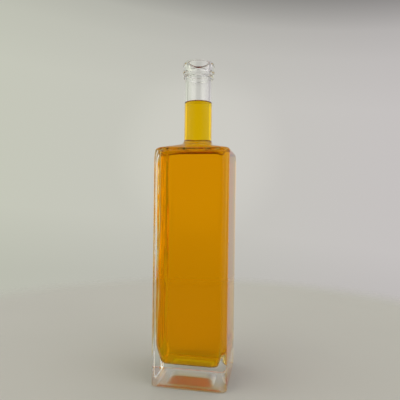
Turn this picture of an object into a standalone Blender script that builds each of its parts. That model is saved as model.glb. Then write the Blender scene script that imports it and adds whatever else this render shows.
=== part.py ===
"""A square liquor bottle of clear glass with an open neck, filled with amber spirit.

Units are metres and +Z is up. The origin is the middle of the foot, on the surface that the bottle
stands on. The front of the bottle faces -Y.

Both solids are lofts through horizontal rings. A ring is a square with rounded corners, which turns
into a circle where the shoulder meets the neck. Each surface is one outline, a list of half widths
and heights made of arcs and straight runs, and a rule that gives a ring's corner radius.
"""

import math

import bmesh
import bpy

# Driving dimensions of the outside
BODY_WIDTH = 0.070
CORNER_RADIUS = 0.0051
FOOT_RADIUS = 0.0007
SHOULDER_HEIGHT = 0.2205
SHOULDER_EDGE = (0.0034, 0.0038)
SHOULDER_SLOPE = math.radians(17)
NECK_RADIUS = 0.01345
NECK_FILLET = 0.0052
TOTAL_HEIGHT = 0.3065

# The lip: a thin bead, a groove and a tall rounded band above it
BEAD_BOTTOM = 0.2905
BEAD_HEIGHT = 0.0042
BEAD_RADIUS = 0.0151
BEAD_ROUNDING = 0.0014
GROOVE_RADIUS = 0.0139
GROOVE_HEIGHT = 0.0008
LIP_RADIUS = 0.0156
LIP_LOWER_ROUNDING = 0.0012
LIP_UPPER_ROUNDING = (0.0040, 0.0038)
MOUTH_ROUNDING = 0.0009

# Driving dimensions of the inside
WALL = 0.0042
CAVITY_CORNER_RADIUS = 0.0060
BASE_THICKNESS = 0.0193
CAVITY_FOOT_RADIUS = 0.0045
TAPER_SLOPE = math.radians(16)
TAPER_INSET = 0.0020
TAPER_BEND = 0.0400
INNER_SHOULDER_HEIGHT = 0.2176
INNER_SHOULDER_EDGE = (0.0020, 0.0024)
BORE_RADIUS = 0.0102
BORE_FILLET = 0.0066

# From this height up, the corners open until the neck is round
ROUNDING_START = 0.2080
CORNER_BLEND = 1.7

# The drink stops half way up the neck, and keeps this gap to the glass
FILL_HEIGHT = 0.2667
DRINK_GAP = 0.0003

# How finely the rings and the arcs are divided
POINTS_PER_CORNER = 12
ARC_STEPS = 5
ROUNDING_STEPS = 3
SLOPE_STEPS = 5
WALL_STEPS = 3


def arc(centre, radii, start, end, steps):
    """Points (half width, height) along an ellipse's arc, angles from the outward direction up."""
    points = []
    for step in range(steps + 1):
        angle = math.radians(start + (end - start) * step / steps)
        points.append((centre[0] + radii[0] * math.cos(angle), centre[1] + radii[1] * math.sin(angle)))
    return points


def wall_top(half, shoulder_start):
    """Points up the last part of a straight wall, where the corners begin to open."""
    rise = (shoulder_start - ROUNDING_START) / WALL_STEPS
    return [(half, ROUNDING_START + step * rise) for step in range(WALL_STEPS)]


def shoulder(half, height, edge, neck_radius, fillet):
    """The wall's top, a rounded edge, a straight slope and a hollow fillet up to the neck's straight wall."""
    rise = math.tan(SHOULDER_SLOPE)
    edge_end = math.degrees(math.atan2(edge[1], edge[0] * rise))
    edge_centre = (half - edge[0], height - edge[1] * math.sin(math.radians(edge_end)))
    points = wall_top(half, edge_centre[1]) + arc(edge_centre, edge, 0, edge_end, ARC_STEPS)

    slope_top = neck_radius + fillet * (1 - math.sin(SHOULDER_SLOPE))
    slope_start, slope_height = points[-1]
    for step in range(1, SLOPE_STEPS):
        run = (slope_start - slope_top) * step / SLOPE_STEPS
        points.append((slope_start - run, slope_height + run * rise))

    fillet_height = slope_height + (slope_start - slope_top) * rise + fillet * math.cos(SHOULDER_SLOPE)
    fillet_centre = (neck_radius + fillet, fillet_height)
    slope_angle = 270 - math.degrees(SHOULDER_SLOPE)
    return points + arc(fillet_centre, (fillet, fillet), slope_angle, 180, ARC_STEPS)


def lip():
    """The bead, the groove and the band above it, as far as the edge of the mouth."""
    bead_top = BEAD_BOTTOM + BEAD_HEIGHT
    band_bottom = bead_top + GROOVE_HEIGHT
    bead = (BEAD_ROUNDING, BEAD_ROUNDING)
    band = (LIP_LOWER_ROUNDING, LIP_LOWER_ROUNDING)
    mouth = (MOUTH_ROUNDING, MOUTH_ROUNDING)
    bead_centre = BEAD_RADIUS - BEAD_ROUNDING
    band_centre = LIP_RADIUS - LIP_LOWER_ROUNDING
    top_centre = (LIP_RADIUS - LIP_UPPER_ROUNDING[0], TOTAL_HEIGHT - LIP_UPPER_ROUNDING[1])
    mouth_centre = (BORE_RADIUS + MOUTH_ROUNDING, TOTAL_HEIGHT - MOUTH_ROUNDING)
    return (
        arc((bead_centre, BEAD_BOTTOM + BEAD_ROUNDING), bead, -90, 0, ROUNDING_STEPS)
        + arc((bead_centre, bead_top - BEAD_ROUNDING), bead, 0, 65, ROUNDING_STEPS)
        + [(GROOVE_RADIUS, bead_top), (GROOVE_RADIUS, band_bottom)]
        + arc((band_centre, band_bottom + LIP_LOWER_ROUNDING), band, -65, 0, ROUNDING_STEPS)
        + arc(top_centre, LIP_UPPER_ROUNDING, 0, 90, ARC_STEPS)
        + arc(mouth_centre, mouth, 90, 180, ROUNDING_STEPS)
    )


def body():
    """The outline of the outer surface, from the foot up to the neck."""
    half = BODY_WIDTH / 2
    foot = arc((half - FOOT_RADIUS, FOOT_RADIUS), (FOOT_RADIUS, FOOT_RADIUS), -90, 0, ARC_STEPS)
    return foot + shoulder(half, SHOULDER_HEIGHT, SHOULDER_EDGE, NECK_RADIUS, NECK_FILLET)


def cavity(gap=0.0):
    """The outline of the cavity, from its floor up to the bore, moved inwards by a gap.

    The wall leans in towards the floor, over a long bend.
    """
    half = BODY_WIDTH / 2 - WALL - gap
    taper = math.degrees(TAPER_SLOPE)
    radius = CAVITY_FOOT_RADIUS
    inset = TAPER_INSET + TAPER_BEND * (1 - math.cos(TAPER_SLOPE)) + radius * math.cos(TAPER_SLOPE)
    floor_centre = (half - inset, BASE_THICKNESS + gap + radius)
    floor = arc(floor_centre, (radius, radius), -90, -taper, ARC_STEPS)
    bend_height = floor[-1][1] + TAPER_INSET / math.tan(TAPER_SLOPE) + TAPER_BEND * math.sin(TAPER_SLOPE)
    bend = arc((half - TAPER_BEND, bend_height), (TAPER_BEND, TAPER_BEND), -taper, 0, ARC_STEPS)
    height = INNER_SHOULDER_HEIGHT - gap / math.cos(SHOULDER_SLOPE)
    return floor + bend + shoulder(half, height, INNER_SHOULDER_EDGE, BORE_RADIUS - gap, BORE_FILLET)


def ring(half, height, radius):
    """One horizontal section: a square with corners of this radius, or a circle if it is the half width."""
    count = 4 * POINTS_PER_CORNER
    points = []
    for index in range(count):
        angle = (index + 0.5) * math.tau / count
        x = math.copysign(half - radius, math.cos(angle)) + radius * math.cos(angle)
        y = math.copysign(half - radius, math.sin(angle)) + radius * math.sin(angle)
        points.append((x, y, height))
    return points


def square_to_round(outline, corner):
    """Rings that keep small corners along the body and open into a circle at the neck."""
    squareness = corner / max(half for half, height in outline)
    lengths = [0.0]
    for start, end in zip(outline[:-1], outline[1:]):
        above = end[1] > ROUNDING_START + 1e-6
        lengths.append(lengths[-1] + (math.dist(start, end) if above else 0.0))
    sections = []
    for (half, height), length in zip(outline, lengths):
        share = (length / lengths[-1]) ** CORNER_BLEND
        sections.append(ring(half, height, half * (squareness + (1 - squareness) * share)))
    return sections


def turned(outline):
    """Round rings, as on the neck and the lip."""
    return [ring(radius, height, radius) for radius, height in outline]


def loft(name, sections, material, collection):
    """A closed solid through the rings, with a flat cap on the first one and on the last one."""
    mesh = bmesh.new()
    loops = [[mesh.verts.new(point) for point in section] for section in sections]
    for lower, upper in zip(loops[:-1], loops[1:]):
        for index in range(len(lower)):
            after = (index + 1) % len(lower)
            mesh.faces.new((lower[index], lower[after], upper[after], upper[index]))
    mesh.faces.new(list(reversed(loops[0])))
    mesh.faces.new(loops[-1])
    bmesh.ops.recalc_face_normals(mesh, faces=mesh.faces)
    data = bpy.data.meshes.new(name)
    mesh.to_mesh(data)
    mesh.free()
    data.shade_smooth()
    data.set_sharp_from_angle(angle=math.radians(35))
    data.materials.append(material)
    obj = bpy.data.objects.new(name, data)
    collection.objects.link(obj)
    return obj


def clear_material(name, colour, roughness, index_of_refraction):
    """A see-through Principled material."""
    material = bpy.data.materials.new(name)
    material.use_nodes = True
    shader = material.node_tree.nodes["Principled BSDF"]
    shader.inputs["Base Color"].default_value = (*colour, 1.0)
    shader.inputs["Roughness"].default_value = roughness
    shader.inputs["Metallic"].default_value = 0.0
    shader.inputs["Transmission Weight"].default_value = 1.0
    shader.inputs["IOR"].default_value = index_of_refraction
    return material


def build_glass(collection):
    """The bottle in one piece: up the outside, over the lip and down the inside to the cavity's floor."""
    neck_top = [(NECK_RADIUS, BEAD_BOTTOM - BEAD_ROUNDING)]
    outer = square_to_round(body(), CORNER_RADIUS) + turned(neck_top + lip())
    inner = square_to_round(cavity(), CAVITY_CORNER_RADIUS)
    material = clear_material("clear_glass", (0.97, 0.98, 0.97), 0.02, 1.52)
    return loft("glass_bottle", outer + inner[::-1], material, collection)


def build_drink(collection):
    """The spirit: it fills the cavity and the lower half of the neck."""
    radius = BORE_RADIUS - DRINK_GAP
    lower = square_to_round(cavity(DRINK_GAP), CAVITY_CORNER_RADIUS)
    level = turned([(radius, FILL_HEIGHT)])
    material = clear_material("amber_spirit", (0.80, 0.36, 0.02), 0.0, 1.36)
    return loft("drink", lower + level, material, collection)


def main():
    for obj in list(bpy.data.objects):
        bpy.data.objects.remove(obj)
    collection = bpy.data.collections.new("liquor_bottle")
    bpy.context.scene.collection.children.link(collection)
    build_glass(collection)
    build_drink(collection)


main()
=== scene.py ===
"""The looks of a square liquor bottle: clear glass with a heavy base, filled with amber spirit.

Both CAD solids are replaced by finer meshes of the same form. The drink's mesh reaches a little into
the glass, so that light goes from one straight into the other.
"""

import math

import bmesh
import bpy
from mathutils import Matrix, Vector, noise


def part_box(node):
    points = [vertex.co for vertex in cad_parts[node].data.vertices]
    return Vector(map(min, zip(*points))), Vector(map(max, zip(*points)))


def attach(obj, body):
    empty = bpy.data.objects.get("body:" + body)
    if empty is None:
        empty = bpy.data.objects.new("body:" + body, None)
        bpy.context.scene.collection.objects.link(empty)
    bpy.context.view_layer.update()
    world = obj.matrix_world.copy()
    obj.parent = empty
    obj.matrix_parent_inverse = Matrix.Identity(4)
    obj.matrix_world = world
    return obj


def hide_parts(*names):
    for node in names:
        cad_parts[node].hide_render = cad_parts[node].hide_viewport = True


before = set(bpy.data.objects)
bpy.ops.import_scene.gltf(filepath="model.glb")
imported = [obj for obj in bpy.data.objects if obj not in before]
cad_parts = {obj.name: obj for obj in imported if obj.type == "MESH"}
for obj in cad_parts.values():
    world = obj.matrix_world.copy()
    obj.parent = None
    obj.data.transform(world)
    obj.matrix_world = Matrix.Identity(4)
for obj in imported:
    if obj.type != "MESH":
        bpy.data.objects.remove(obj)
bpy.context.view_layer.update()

# Sizes that the frame gives
GLASS_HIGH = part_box("glass_bottle")[1]
HALF_WIDTH = GLASS_HIGH.x
TOTAL_HEIGHT = GLASS_HIGH.z
FILL_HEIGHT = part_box("drink")[1].z

# The outside, in metres
CORNER_RADIUS = 0.0051
FOOT_RADIUS = 0.0007
SHOULDER_HEIGHT = 0.2205
SHOULDER_EDGE = (0.0034, 0.0038)
SHOULDER_SLOPE = math.radians(17)
NECK_RADIUS = 0.01345
NECK_FILLET = 0.0052

# The lip
BEAD_BOTTOM = 0.2905
BEAD_HEIGHT = 0.0042
BEAD_RADIUS = 0.0151
BEAD_ROUNDING = 0.0014
GROOVE_RADIUS = 0.0139
GROOVE_HEIGHT = 0.0008
LIP_RADIUS = 0.0156
LIP_LOWER_ROUNDING = 0.0012
LIP_UPPER_ROUNDING = (0.0040, 0.0038)
MOUTH_ROUNDING = 0.0009

# The inside
WALL = 0.0042
CAVITY_CORNER_RADIUS = 0.0060
BASE_THICKNESS = 0.0193
CAVITY_FOOT_RADIUS = 0.0045
TAPER_SLOPE = math.radians(16)
TAPER_INSET = 0.0020
TAPER_BEND = 0.0400
INNER_SHOULDER_HEIGHT = 0.2176
INNER_SHOULDER_EDGE = (0.0020, 0.0024)
BORE_RADIUS = 0.0102
BORE_FILLET = 0.0066
CORNER_BLEND = 1.7
ROUNDING_START = 0.2080

# The underside: a rim to stand on, a shallow step up from it and a flat-topped rise in the middle
RIM_HALF = 0.0305
RIM_RUN = 0.0020
RIM_RISE = 0.00075
RISE_HALF = (0.0222, 0.0230)
RISE_TOP_HALF = 0.0095
RISE_HEIGHT = 0.0046
RISE_END_POWER = 8
UNDERSIDE_CORNER = 0.0040
UNDERSIDE_STEPS = 46

# The glass: its colour by depth, and bumps in its surface, in grains a metre and in metres
GLASS_IOR = 1.52
GLASS_TINT = (0.6, 1.0, 0.8)
GLASS_DENSITY = 1.2
GLASS_GRAIN = 55.0
GLASS_UNEVENNESS = 0.00007

# How strongly and in which colour the glass mirrors: where there is air on both sides and round the base,
# outside the drink, and where the drink touches it. The underside is stippled instead of polished
FULL_GLOSS = (1.0, 1.0, 1.0)
OUTER_GLOSS = (0.50, 0.42, 0.08)
NO_GLOSS = (0.0, 0.0, 0.0)
STIPPLE_ROUGHNESS = 0.47

# The drink: two close tones of its surface and their grains a metre, and its colour by depth
DRINK_IOR = 1.36
DRINK_TINT = (1.0, 0.765, 0.18)
DRINK_TINT_DEEP = (1.0, 0.735, 0.16)
DRINK_GRAIN = 18.0
DRINK_DEPTH_TINT = (0.9995, 0.9550, 0.0)
DRINK_DENSITY = 220.0

# The drink reaches this far into the glass, and climbs the bore's wall in a small meniscus
OVERLAP = 0.00012
MENISCUS = 0.0009
MENISCUS_REACH = 0.0007

# The inner wall is slightly wavy, as blown glass is, and most of all on the left. The waves are longer
# upwards than across, carry finer ripples, and fade out near the cavity's floor and shoulder
WAVE_DEPTH = 0.00010
WAVE_DEPTH_LEFT = 0.00150
WAVE_LENGTH = 0.009
WAVE_STRETCH = 6.0
WAVE_FADE = 0.012
RIPPLE_SHARE = 0.50
RIPPLE_LENGTH = 0.0045

# How far out to the left the deep waves start and how soon they are full, as shares of the whole way
LEFT_START = 0.5
LEFT_RUN = 0.15

# How finely the meshes are divided, and the angle from which an edge is drawn sharp
ARC_STEPS = 10
ROUNDING_STEPS = 6
LONGEST_STEP = 0.0025
SIDE_POINTS = 24
CORNER_POINTS = 22
LEVEL_STEPS = 24
FLOOR_STEPS = 6
SHARP_ANGLE = math.radians(35)

# The camera: where it stands from the bottle's middle, and how it is turned and tilted
CAMERA_YAW = math.radians(10.4)
CAMERA_DISTANCE = 0.3994
CAMERA_SIDE = 0.0029
CAMERA_HEIGHT = 0.1743
CAMERA_PITCH = math.radians(-0.36)
CAMERA_ROLL = math.radians(0.76)
FOCAL_SHARE = 405 / 400
SENSOR_WIDTH = 36.0
NEAREST = 0.01

# How often a ray may turn. It is often, because the glass sends light round inside its edges
LIGHT_BOUNCES = 32

# The backdrop's brightness at each elevation, in degrees, and how much higher it reaches on the left
BACKDROP = ((-90, 0.50), (-12, 0.50), (-4, 0.56), (14, 0.56), (20, 0.52),
            (23.5, 0.46), (27, 0.27), (36, 0.13), (68, 0.12), (90, 0.30))
BACKDROP_TILT = 0.11

# The light's tints on both sides, which are full at this share of the way out
LEFT_TINT = (1.0, 1.02, 0.87)
RIGHT_TINT = (1.0, 0.955, 0.945)
TINT_REACH = 0.45

# Brighter places: azimuth and elevation, how far from there light starts and is full, and its strength
PANELS = (
    (118, 32, 48, 22, 0.85), (-118, 32, 48, 22, 0.85),
    (0, 90, 32, 16, 1.0),
    (52, 44, 25, 8, 0.5), (-52, 44, 25, 8, 0.5),
    (0, 38.5, 12, 3, 0.8), (0, 6, 13, 4, 0.05),
    (33.5, 11, 6.5, 1, 0.35), (-33.5, 11, 6.5, 1, 0.35),
    (34.5, 2, 7.5, 2, 0.40), (-34.5, 2, 7.5, 2, 0.40),
    (34.5, -8, 7.5, 2, 0.40), (-34.5, -8, 7.5, 2, 0.40),
)

# Dimmer places, in the same way, with the share of the light that they take away
DIM_PLACES = ((180, 0, 38, 28, 0.5), (63, 0, 21, 9, 0.4), (-63, 0, 21, 9, 0.4))

# The table top, which fades out into the backdrop, and the gap of air under the bottle
TABLE_RADIUS = 0.52
TABLE_FADE = 0.12
TABLE_STEPS = 96
TABLE_GAP = 0.00015

# Its two close tones and its bumps, both with their grains a metre, and the bumps' depth in metres
TABLE_ROUGHNESS = 0.75
TABLE_COLOUR = (0.605, 0.594, 0.567)
TABLE_COLOUR_DARK = (0.580, 0.570, 0.545)
TABLE_GRAIN = 9.0
TABLE_BUMPS = 900.0
TABLE_UNEVENNESS = 0.00003


def clamp(value):
    """The value, kept between 0 and 1."""
    return min(1.0, max(0.0, value))


def arc(centre, radii, start, end, steps):
    """Points (half width, height) along an ellipse's arc, angles in degrees from the outward direction up."""
    points = []
    for step in range(steps + 1):
        angle = math.radians(start + (end - start) * step / steps)
        points.append((centre[0] + radii[0] * math.cos(angle), centre[1] + radii[1] * math.sin(angle)))
    return points


def shoulder(half, height, edge, neck_radius, fillet):
    """A rounded edge, a straight slope up and a hollow fillet that ends at the neck's straight wall."""
    rise = math.tan(SHOULDER_SLOPE)
    edge_end = math.degrees(math.atan2(edge[1], edge[0] * rise))
    edge_centre = (half - edge[0], height - edge[1] * math.sin(math.radians(edge_end)))
    points = arc(edge_centre, edge, 0, edge_end, ARC_STEPS)
    slope_top = neck_radius + fillet * (1 - math.sin(SHOULDER_SLOPE))
    slope_start, slope_height = points[-1]
    fillet_height = slope_height + (slope_start - slope_top) * rise + fillet * math.cos(SHOULDER_SLOPE)
    fillet_centre = (neck_radius + fillet, fillet_height)
    slope_angle = 270 - math.degrees(SHOULDER_SLOPE)
    return points + arc(fillet_centre, (fillet, fillet), slope_angle, 180, ARC_STEPS)


def lip():
    """The bead, the groove and the band above it, as far as the edge of the mouth."""
    bead_top = BEAD_BOTTOM + BEAD_HEIGHT
    band_bottom = bead_top + GROOVE_HEIGHT
    bead = (BEAD_ROUNDING, BEAD_ROUNDING)
    band = (LIP_LOWER_ROUNDING, LIP_LOWER_ROUNDING)
    mouth = (MOUTH_ROUNDING, MOUTH_ROUNDING)
    bead_centre = BEAD_RADIUS - BEAD_ROUNDING
    band_centre = LIP_RADIUS - LIP_LOWER_ROUNDING
    top_centre = (LIP_RADIUS - LIP_UPPER_ROUNDING[0], TOTAL_HEIGHT - LIP_UPPER_ROUNDING[1])
    mouth_centre = (BORE_RADIUS + MOUTH_ROUNDING, TOTAL_HEIGHT - MOUTH_ROUNDING)
    return (
        arc((bead_centre, BEAD_BOTTOM + BEAD_ROUNDING), bead, -90, 0, ROUNDING_STEPS)
        + arc((bead_centre, bead_top - BEAD_ROUNDING), bead, 0, 65, ROUNDING_STEPS)
        + [(GROOVE_RADIUS, bead_top), (GROOVE_RADIUS, band_bottom)]
        + arc((band_centre, band_bottom + LIP_LOWER_ROUNDING), band, -65, 0, ROUNDING_STEPS)
        + arc(top_centre, LIP_UPPER_ROUNDING, 0, 90, ARC_STEPS)
        + arc(mouth_centre, mouth, 90, 180, ROUNDING_STEPS)
    )


def body():
    """The outline of the outer surface, from the foot up to the neck."""
    foot_centre = (HALF_WIDTH - FOOT_RADIUS, FOOT_RADIUS)
    foot = arc(foot_centre, (FOOT_RADIUS, FOOT_RADIUS), -90, 0, ARC_STEPS) + [(HALF_WIDTH, ROUNDING_START)]
    return foot + shoulder(HALF_WIDTH, SHOULDER_HEIGHT, SHOULDER_EDGE, NECK_RADIUS, NECK_FILLET)


def cavity(growth=0.0):
    """The outline of the cavity, from its floor up to the bore, moved out into the glass by a growth."""
    half = HALF_WIDTH - WALL + growth
    taper = math.degrees(TAPER_SLOPE)
    radius = CAVITY_FOOT_RADIUS
    inset = TAPER_INSET + TAPER_BEND * (1 - math.cos(TAPER_SLOPE)) + radius * math.cos(TAPER_SLOPE)
    floor_centre = (half - inset, BASE_THICKNESS - growth + radius)
    floor = arc(floor_centre, (radius, radius), -90, -taper, ARC_STEPS)
    bend_height = floor[-1][1] + TAPER_INSET / math.tan(TAPER_SLOPE) + TAPER_BEND * math.sin(TAPER_SLOPE)
    bend = arc((half - TAPER_BEND, bend_height), (TAPER_BEND, TAPER_BEND), -taper, 0, ARC_STEPS)
    height = INNER_SHOULDER_HEIGHT + growth / math.cos(SHOULDER_SLOPE)
    top = shoulder(half, height, INNER_SHOULDER_EDGE, BORE_RADIUS + growth, BORE_FILLET)
    return floor + bend + [(half, ROUNDING_START)] + top


def closer(outline):
    """The same outline with points added on its long straight runs."""
    points = [outline[0]]
    for start, end in zip(outline[:-1], outline[1:]):
        pieces = math.ceil(math.dist(start, end) / LONGEST_STEP)
        for piece in range(1, pieces + 1):
            share = piece / pieces
            points.append((start[0] + (end[0] - start[0]) * share, start[1] + (end[1] - start[1]) * share))
    return points


def ring_angles():
    """Directions round the bottle: evenly spaced along each flat side, and close together at its corners."""
    corner_start = math.atan2(HALF_WIDTH - 2 * CORNER_RADIUS, HALF_WIDTH)
    quarter = []
    for index in range(SIDE_POINTS):
        share = 2 * (index + 0.5) / SIDE_POINTS - 1
        quarter.append(math.atan(share * math.tan(corner_start)))
    for index in range(CORNER_POINTS):
        share = (index + 0.5) / CORNER_POINTS
        quarter.append(corner_start + share * (math.pi / 2 - 2 * corner_start))
    return [angle + turn * math.pi / 2 for turn in range(4) for angle in quarter]


def on_rounded_square(half, radius, angle):
    """Where the direction from the axis meets a square with rounded corners."""
    along, across = abs(math.cos(angle)), abs(math.sin(angle))
    straight = half - radius
    if across * half <= along * straight:
        reach = half / along
    elif along * half <= across * straight:
        reach = half / across
    else:
        middle = straight * (along + across)
        reach = middle + math.sqrt(max(0.0, middle**2 - 2 * straight**2 + radius**2))
    return reach * math.cos(angle), reach * math.sin(angle)


def square_to_round(outline, corner):
    """(half width, height, corner radius) of each ring: small corners that open into a circle at the neck."""
    squareness = corner / max(half for half, height in outline)
    lengths = [0.0]
    for start, end in zip(outline[:-1], outline[1:]):
        above = end[1] > ROUNDING_START + 1e-6
        lengths.append(lengths[-1] + (math.dist(start, end) if above else 0.0))
    sections = []
    for (half, height), length in zip(outline, lengths):
        share = (length / lengths[-1]) ** CORNER_BLEND
        sections.append((half, height, half * (squareness + (1 - squareness) * share)))
    return sections


def turned(outline):
    """The same for round rings."""
    return [(radius, height, radius) for radius, height in outline]


def wave(angle, height):
    """How far the inner wall stands out from true at this place, in metres."""
    low = BASE_THICKNESS + 2 * CAVITY_FOOT_RADIUS
    high = INNER_SHOULDER_HEIGHT - INNER_SHOULDER_EDGE[1]
    fade = clamp((height - low) / WAVE_FADE) * clamp((high - height) / WAVE_FADE)
    place = Vector((math.cos(angle) * HALF_WIDTH, math.sin(angle) * HALF_WIDTH, height / WAVE_STRETCH))
    left = clamp((-math.cos(angle) - LEFT_START) / LEFT_RUN)
    depth = WAVE_DEPTH + (WAVE_DEPTH_LEFT - WAVE_DEPTH) * left
    ripple = RIPPLE_SHARE * noise.noise(place / RIPPLE_LENGTH)
    return depth * fade * (noise.noise(place / WAVE_LENGTH) + ripple)


def ring_points(section, angles, wavy):
    """The points of one ring, pushed in and out by the waves if it is a wavy one."""
    half, height, radius = section
    points = []
    for angle in angles:
        x, y = on_rounded_square(half, radius, angle)
        if wavy:
            push = 1 + wave(angle, height) / math.hypot(x, y)
            x, y = x * push, y * push
        points.append((x, y, height))
    return points


def loft(name, rings, gloss=None):
    """A closed smooth mesh through rings of points, capped at both ends.

    gloss holds how strongly each band of faces mirrors. A loft that has it starts with the underside's
    rings, and their faces are marked as stippled.
    """
    mesh = bmesh.new()
    loops = [[mesh.verts.new(point) for point in ring] for ring in rings]
    count = len(loops[0])
    for lower, upper in zip(loops[:-1], loops[1:]):
        for index in range(count):
            after = (index + 1) % count
            mesh.faces.new((lower[index], lower[after], upper[after], upper[index]))
    mesh.faces.new(list(reversed(loops[0])))
    mesh.faces.new(loops[-1])
    glossy = mesh.faces.layers.float_vector.new("gloss")
    stippled = mesh.faces.layers.float.new("stippled")
    if gloss is not None:
        mesh.faces.ensure_lookup_table()
        for face in mesh.faces[:(UNDERSIDE_STEPS - 1) * count] + [mesh.faces[-2]]:
            face[stippled] = 1.0
        for index, face in enumerate(mesh.faces[:-2]):
            face[glossy] = gloss[index // count]
        mesh.faces[-2][glossy] = gloss[0]
        mesh.faces[-1][glossy] = gloss[-1]
    bmesh.ops.recalc_face_normals(mesh, faces=mesh.faces)
    data = bpy.data.meshes.new(name)
    mesh.to_mesh(data)
    mesh.free()
    data.shade_smooth()
    data.set_sharp_from_angle(angle=SHARP_ANGLE)
    obj = bpy.data.objects.new(name, data)
    bpy.context.scene.collection.objects.link(obj)
    return obj


def floor_rings(section, angles):
    """Rings that close the cavity's flat floor towards the middle, so that its cap stays small."""
    half, height, radius = section
    rings = []
    for step in range(1, FLOOR_STEPS):
        smaller = (half * step / FLOOR_STEPS, height, radius * step / FLOOR_STEPS)
        rings.append(ring_points(smaller, angles, False))
    return rings


def underside_height(x, y):
    """How far the underside stands off the table at this place."""
    step = clamp((RIM_HALF - max(abs(x), abs(y))) / RIM_RUN)
    along = max(0.0, 1 - abs(x / RISE_HALF[0]) ** RISE_END_POWER)
    across = clamp((RISE_HALF[1] - abs(y)) / (RISE_HALF[1] - RISE_TOP_HALF))
    return RIM_RISE * step + RISE_HEIGHT * along * across


def underside_rings(angles):
    """The underside from its middle out to the rim."""
    rings = []
    for step in range(1, UNDERSIDE_STEPS):
        share = step / UNDERSIDE_STEPS
        half = (HALF_WIDTH - FOOT_RADIUS) * share
        points = ring_points((half, 0.0, min(half, UNDERSIDE_CORNER)), angles, False)
        rings.append([(x, y, underside_height(x, y)) for x, y, z in points])
    return rings


def noise_at(tree, scale, detail):
    """Noise that is fixed to the piece, with this many grains in a metre."""
    coordinates = tree.nodes.new("ShaderNodeTexCoord")
    coordinates.location = (-1000, 0)
    grain = tree.nodes.new("ShaderNodeTexNoise")
    grain.location = (-800, 0)
    grain.inputs["Scale"].default_value = scale
    grain.inputs["Detail"].default_value = detail
    tree.links.new(coordinates.outputs["Object"], grain.inputs["Vector"])
    return grain.outputs["Fac"]


def uneven(tree, scale, depth):
    """Gives a material's surface shallow bumps of this depth, in metres."""
    bump = tree.nodes.new("ShaderNodeBump")
    bump.location = (-300, -300)
    bump.inputs["Strength"].default_value = 1.0
    bump.inputs["Distance"].default_value = depth
    tree.links.new(noise_at(tree, scale, 1.0), bump.inputs["Height"])
    tree.links.new(bump.outputs["Normal"], tree.nodes["Principled BSDF"].inputs["Normal"])


def mottled(tree, first, second, scale):
    """Lets a material's colour drift between two close tones."""
    mix = tree.nodes.new("ShaderNodeMix")
    mix.data_type = "RGBA"
    mix.location = (-300, 200)
    mix.inputs["A"].default_value = (*first, 1.0)
    mix.inputs["B"].default_value = (*second, 1.0)
    tree.links.new(noise_at(tree, scale, 2.0), mix.inputs["Factor"])
    tree.links.new(mix.outputs["Result"], tree.nodes["Principled BSDF"].inputs["Base Color"])


def see_through(name, colour, index_of_refraction):
    """A smooth Principled material for a clear solid."""
    material = bpy.data.materials.new(name)
    material.use_nodes = True
    shader = material.node_tree.nodes["Principled BSDF"]
    shader.inputs["Base Color"].default_value = (*colour, 1.0)
    shader.inputs["Roughness"].default_value = 0.0
    shader.inputs["IOR"].default_value = index_of_refraction
    shader.inputs["Transmission Weight"].default_value = 1.0
    return material


def absorb(material, colour, density):
    """Gives a see-through material its colour by depth."""
    tree = material.node_tree
    volume = tree.nodes.new("ShaderNodeVolumeAbsorption")
    volume.location = (0, -400)
    volume.inputs["Color"].default_value = (*colour, 1.0)
    volume.inputs["Density"].default_value = density
    tree.links.new(volume.outputs["Volume"], tree.nodes["Material Output"].inputs["Volume"])


def glass_material():
    """Clear glass, whose faces say themselves how strongly they mirror and whether they are stippled."""
    material = see_through("clear_glass", (1.0, 1.0, 1.0), GLASS_IOR)
    absorb(material, GLASS_TINT, GLASS_DENSITY)
    tree = material.node_tree
    shader = tree.nodes["Principled BSDF"]
    gloss = tree.nodes.new("ShaderNodeAttribute")
    gloss.location = (-600, -200)
    gloss.attribute_name = "gloss"
    tree.links.new(gloss.outputs["Color"], shader.inputs["Specular Tint"])
    stippled = tree.nodes.new("ShaderNodeAttribute")
    stippled.location = (-600, 100)
    stippled.attribute_name = "stippled"
    roughness = tree.nodes.new("ShaderNodeMapRange")
    roughness.location = (-400, 100)
    roughness.inputs["To Max"].default_value = STIPPLE_ROUGHNESS
    tree.links.new(stippled.outputs["Fac"], roughness.inputs["Value"])
    tree.links.new(roughness.outputs["Result"], shader.inputs["Roughness"])
    uneven(tree, GLASS_GRAIN, GLASS_UNEVENNESS)
    return material


def drink_material():
    """Clear amber liquid, deeper in colour where it is thicker, that adds no mirror inside the glass."""
    material = see_through("amber_spirit", DRINK_TINT, DRINK_IOR)
    absorb(material, DRINK_DEPTH_TINT, DRINK_DENSITY)
    material.node_tree.nodes["Principled BSDF"].inputs["Specular Tint"].default_value = (*NO_GLOSS, 1.0)
    mottled(material.node_tree, DRINK_TINT, DRINK_TINT_DEEP, DRINK_GRAIN)
    return material


def gloss_at(height, inside):
    """How strongly the glass mirrors at this height, on its outer face or on the side of the cavity."""
    if height > FILL_HEIGHT + MENISCUS:
        return FULL_GLOSS
    if inside:
        return NO_GLOSS
    return OUTER_GLOSS if height > BASE_THICKNESS else FULL_GLOSS


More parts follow.
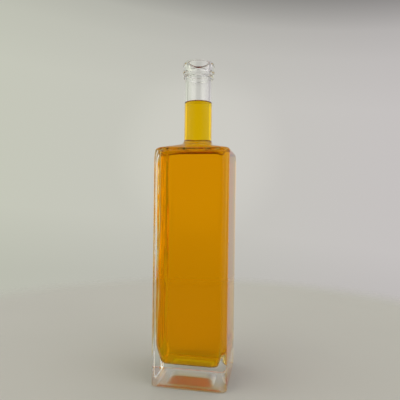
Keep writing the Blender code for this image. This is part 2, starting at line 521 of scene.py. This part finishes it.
def build_glass(angles):
    """The bottle in one piece: up the outside, over the lip and down the inside to the cavity's floor."""
    neck_top = [(NECK_RADIUS, BEAD_BOTTOM - BEAD_ROUNDING)]
    below = square_to_round(closer(body()), CORNER_RADIUS)
    neck = turned(closer([body()[-1]] + neck_top)[1:] + lip())
    outer = [ring_points(section, angles, False) for section in below + neck]
    wall = square_to_round(closer(cavity()), CAVITY_CORNER_RADIUS)
    bore_top = (BORE_RADIUS, TOTAL_HEIGHT - MOUTH_ROUNDING)
    bore = turned(closer([cavity()[-1], bore_top])[1:-1])
    inner = [ring_points(section, angles, True) for section in wall + bore]
    outside = underside_rings(angles) + outer
    rings = outside + inner[::-1] + floor_rings(wall[0], angles)[::-1]
    gloss = [gloss_at(ring[0][2], index >= len(outside)) for index, ring in enumerate(rings)][1:]
    piece = loft("glass_body", rings, gloss)
    piece.data.materials.append(glass_material())
    return piece


def build_drink(angles):
    """The spirit, grown a little into the glass all round, with a level that climbs at its edge."""
    outline = closer(cavity(OVERLAP))
    sections = square_to_round(outline, CAVITY_CORNER_RADIUS)
    bore = turned(closer([outline[-1], (BORE_RADIUS + OVERLAP, FILL_HEIGHT + MENISCUS)])[1:])
    sides = [ring_points(section, angles, True) for section in sections + bore]
    level = []
    for step in range(1, LEVEL_STEPS):
        inwards = BORE_RADIUS * (step / LEVEL_STEPS) ** 2
        rise = MENISCUS * math.exp(-inwards / MENISCUS_REACH)
        radius = BORE_RADIUS + OVERLAP - inwards
        level.append(ring_points((radius, FILL_HEIGHT + rise, radius), angles, False))
    piece = loft("amber_drink", floor_rings(sections[0], angles) + sides + level)
    piece.data.materials.append(drink_material())
    return piece


def table_material():
    """Matt and pale, and see-through towards the rim, so that no edge shows against the backdrop."""
    material = bpy.data.materials.new("pale_table")
    material.use_nodes = True
    tree = material.node_tree
    shader = tree.nodes["Principled BSDF"]
    shader.inputs["Roughness"].default_value = TABLE_ROUGHNESS
    mottled(tree, TABLE_COLOUR, TABLE_COLOUR_DARK, TABLE_GRAIN)
    uneven(tree, TABLE_BUMPS, TABLE_UNEVENNESS)
    coordinates = tree.nodes.new("ShaderNodeTexCoord")
    reach = tree.nodes.new("ShaderNodeVectorMath")
    reach.operation = "LENGTH"
    tree.links.new(coordinates.outputs["Object"], reach.inputs[0])
    fade = tree.nodes.new("ShaderNodeMapRange")
    fade.interpolation_type = "SMOOTHSTEP"
    fade.inputs["From Min"].default_value = TABLE_RADIUS - TABLE_FADE
    fade.inputs["From Max"].default_value = TABLE_RADIUS
    fade.inputs["To Min"].default_value = 1.0
    fade.inputs["To Max"].default_value = 0.0
    tree.links.new(reach.outputs["Value"], fade.inputs["Value"])
    tree.links.new(fade.outputs["Result"], shader.inputs["Alpha"])
    return material


def build_table():
    """A plain round table top."""
    mesh = bmesh.new()
    bmesh.ops.create_circle(mesh, cap_ends=True, radius=TABLE_RADIUS, segments=TABLE_STEPS)
    bmesh.ops.translate(mesh, verts=mesh.verts, vec=(0, 0, -TABLE_GAP))
    data = bpy.data.meshes.new("table_top")
    mesh.to_mesh(data)
    mesh.free()
    data.materials.append(table_material())
    table = bpy.data.objects.new("table_top", data)
    bpy.context.scene.collection.objects.link(table)


def towards(azimuth, elevation):
    """A direction. Both angles are in degrees, and the azimuth counts from the camera's view to the right."""
    turn = math.radians(azimuth) - CAMERA_YAW
    lift = math.radians(elevation)
    return Vector((math.sin(turn) * math.cos(lift), math.cos(turn) * math.cos(lift), math.sin(lift)))


def share_along(tree, direction, axis):
    """How far a ray's direction goes along an axis, from -1 to 1."""
    product = tree.nodes.new("ShaderNodeVectorMath")
    product.operation = "DOT_PRODUCT"
    product.inputs[1].default_value = axis
    tree.links.new(direction, product.inputs[0])
    return product.outputs["Value"]


def lobe(tree, direction, azimuth, elevation, start, end, strength):
    """Brightness that grows from one angle to another around a place, in degrees."""
    shape = tree.nodes.new("ShaderNodeMapRange")
    shape.interpolation_type = "SMOOTHSTEP"
    shape.inputs["From Min"].default_value = math.cos(math.radians(start))
    shape.inputs["From Max"].default_value = math.cos(math.radians(end))
    shape.inputs["To Min"].default_value = 0.0
    shape.inputs["To Max"].default_value = strength
    tree.links.new(share_along(tree, direction, towards(azimuth, elevation)), shape.inputs["Value"])
    return shape.outputs["Result"]


def combine(tree, operation, *values):
    """The result of a mathematical operation. Each value is a number or another node's output."""
    node = tree.nodes.new("ShaderNodeMath")
    node.operation = operation
    for socket, value in zip(node.inputs, values):
        if isinstance(value, float):
            socket.default_value = value
        else:
            tree.links.new(value, socket)
    return node.outputs["Value"]


def backdrop(tree, direction, aside):
    """The backdrop's brightness by elevation, a little lower on the right than on the left."""
    parts = tree.nodes.new("ShaderNodeSeparateXYZ")
    tree.links.new(direction, parts.inputs["Vector"])
    tilted = combine(tree, "ADD", parts.outputs["Z"], combine(tree, "MULTIPLY", aside, BACKDROP_TILT))
    ramp = tree.nodes.new("ShaderNodeValToRGB")
    tree.links.new(combine(tree, "MULTIPLY_ADD", tilted, 0.5, 0.5), ramp.inputs["Fac"])
    stops = ramp.color_ramp.elements
    stops.remove(stops[1])
    for index, (elevation, value) in enumerate(BACKDROP):
        place = 0.5 + 0.5 * math.sin(math.radians(elevation))
        stop = stops.new(place) if index else stops[0]
        stop.position = place
        stop.color = (value, value, value, 1)
    return ramp.outputs["Color"]


def side_tint(tree, aside):
    """The light's colour, which drifts from the left's tint to the right's."""
    tint = tree.nodes.new("ShaderNodeMix")
    tint.data_type = "RGBA"
    tint.inputs["A"].default_value = (*LEFT_TINT, 1.0)
    tint.inputs["B"].default_value = (*RIGHT_TINT, 1.0)
    across = tree.nodes.new("ShaderNodeMapRange")
    across.inputs["From Min"].default_value = -TINT_REACH
    across.inputs["From Max"].default_value = TINT_REACH
    tree.links.new(aside, across.inputs["Value"])
    tree.links.new(across.outputs["Result"], tint.inputs["Factor"])
    return tint.outputs["Result"]


def build_world():
    """Soft light from all round: a pale backdrop under a dim ceiling, with brighter and dimmer places."""
    world = bpy.data.worlds.new("studio")
    bpy.context.scene.world = world
    world.use_nodes = True
    tree = world.node_tree
    direction = tree.nodes.new("ShaderNodeTexCoord").outputs["Generated"]
    aside = share_along(tree, direction, towards(90, 0))
    total = backdrop(tree, direction, aside)
    for place in DIM_PLACES:
        left_over = combine(tree, "SUBTRACT", 1.0, lobe(tree, direction, *place))
        total = combine(tree, "MULTIPLY", total, left_over)
    for panel in PANELS:
        total = combine(tree, "ADD", total, lobe(tree, direction, *panel))
    background = tree.nodes["Background"]
    tree.links.new(total, background.inputs["Strength"])
    tree.links.new(side_tint(tree, aside), background.inputs["Color"])


def build_camera():
    """The photograph's viewpoint: level with the bottle's middle, a little to its right."""
    right = Vector((math.cos(CAMERA_YAW), math.sin(CAMERA_YAW), 0))
    forward = Vector((-math.sin(CAMERA_YAW), math.cos(CAMERA_YAW), 0))
    data = bpy.data.cameras.new("camera")
    data.sensor_width = SENSOR_WIDTH
    data.lens = SENSOR_WIDTH * FOCAL_SHARE
    data.clip_start = NEAREST
    camera = bpy.data.objects.new("camera", data)
    bpy.context.scene.collection.objects.link(camera)
    camera.location = -forward * CAMERA_DISTANCE + right * CAMERA_SIDE + Vector((0, 0, CAMERA_HEIGHT))
    level = Matrix((right, Vector((0, 0, 1)), -forward)).transposed().to_4x4()
    turn = Matrix.Rotation(CAMERA_PITCH, 4, "X") @ Matrix.Rotation(CAMERA_ROLL, 4, "Z")
    camera.rotation_mode = "QUATERNION"
    camera.rotation_quaternion = (level @ turn).to_quaternion()
    bpy.context.scene.camera = camera


def main():
    """Dresses both nodes of the frame and sets up the picture."""
    scene = bpy.context.scene
    scene.view_settings.view_transform = "Standard"
    scene.cycles.max_bounces = LIGHT_BOUNCES
    scene.cycles.transmission_bounces = LIGHT_BOUNCES
    scene.cycles.glossy_bounces = LIGHT_BOUNCES
    angles = ring_angles()
    glass = build_glass(angles)
    drink = build_drink(angles)
    for piece, node, slot in ((glass, "glass_bottle", "clear_glass"), (drink, "drink", "amber_spirit")):
        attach(piece, "root")
        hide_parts(node)
    build_table()
    build_world()
    build_camera()


main()
